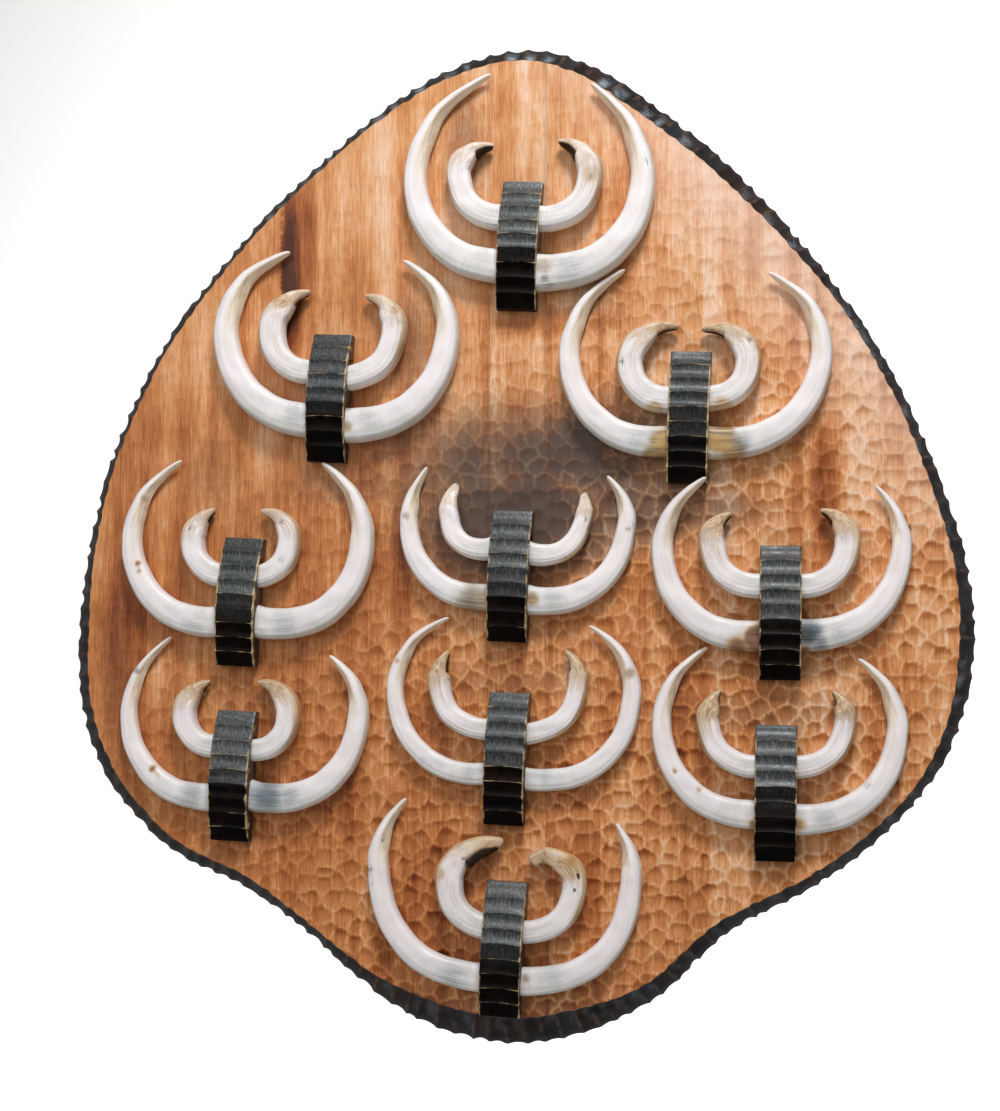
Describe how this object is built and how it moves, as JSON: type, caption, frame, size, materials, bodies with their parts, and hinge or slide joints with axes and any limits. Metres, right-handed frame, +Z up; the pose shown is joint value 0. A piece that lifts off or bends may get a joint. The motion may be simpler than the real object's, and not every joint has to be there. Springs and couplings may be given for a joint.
{
  "type": "mounted boar tusk trophy plaque",
  "caption": "Carved wooden wall plaque that shows pairs of curved boar tusks, held at their roots by notched dark wooden clamps.",
  "frame": {"origin": "mouth of the blind hook hole in the board's flat back, near its crown", "axes": "+Z up on the wall, +Y out of the flat back and into the wall, so the tusks face -Y; +X is to the right as seen from the front"},
  "size_m": [0.5515, 0.0419, 0.6099],
  "materials": {
    "board_wood": "hand-gouged, stained and satin varnished",
    "enamel": "polished natural tusk enamel",
    "aged_enamel": "natural tusk enamel with tan growth lines",
    "blackened_wood": "black stained and satin varnished, worn at the edges"
  },
  "bodies": {
    "root": {"board": "board_wood", "row1_lower_tusk_left": "enamel", "row1_upper_tusk_left": "aged_enamel", "row1_lower_tusk_right": "enamel", "row1_upper_tusk_right": "aged_enamel", "row1_clamp": "blackened_wood", "row2_left_lower_tusk_left": "enamel", "row2_left_upper_tusk_left": "aged_enamel", "row2_left_lower_tusk_right": "enamel", "row2_left_upper_tusk_right": "aged_enamel", "row2_left_clamp": "blackened_wood", "row2_right_lower_tusk_left": "enamel", "row2_right_upper_tusk_left": "aged_enamel", "row2_right_lower_tusk_right": "enamel", "row2_right_upper_tusk_right": "aged_enamel", "row2_right_clamp": "blackened_wood", "row3_left_lower_tusk_left": "enamel", "row3_left_upper_tusk_left": "aged_enamel", "row3_left_lower_tusk_right": "enamel", "row3_left_upper_tusk_right": "aged_enamel", "row3_left_clamp": "blackened_wood", "row3_centre_lower_tusk_left": "enamel", "row3_centre_upper_tusk_left": "aged_enamel", "row3_centre_lower_tusk_right": "enamel", "row3_centre_upper_tusk_right": "aged_enamel", "row3_centre_clamp": "blackened_wood", "row3_right_lower_tusk_left": "enamel", "row3_right_upper_tusk_left": "aged_enamel", "row3_right_lower_tusk_right": "enamel", "row3_right_upper_tusk_right": "aged_enamel", "row3_right_clamp": "blackened_wood", "row4_left_lower_tusk_left": "enamel", "row4_left_upper_tusk_left": "aged_enamel", "row4_left_lower_tusk_right": "enamel", "row4_left_upper_tusk_right": "aged_enamel", "row4_left_clamp": "blackened_wood", "row4_centre_lower_tusk_left": "enamel", "row4_centre_upper_tusk_left": "aged_enamel", "row4_centre_lower_tusk_right": "enamel", "row4_centre_upper_tusk_right": "aged_enamel", "row4_centre_clamp": "blackened_wood", "row4_right_lower_tusk_left": "enamel", "row4_right_upper_tusk_left": "aged_enamel", "row4_right_lower_tusk_right": "enamel", "row4_right_upper_tusk_right": "aged_enamel", "row4_right_clamp": "blackened_wood", "row5_lower_tusk_left": "enamel", "row5_upper_tusk_left": "aged_enamel", "row5_lower_tusk_right": "enamel", "row5_upper_tusk_right": "aged_enamel", "row5_clamp": "blackened_wood"}
  },
  "joints": []
}
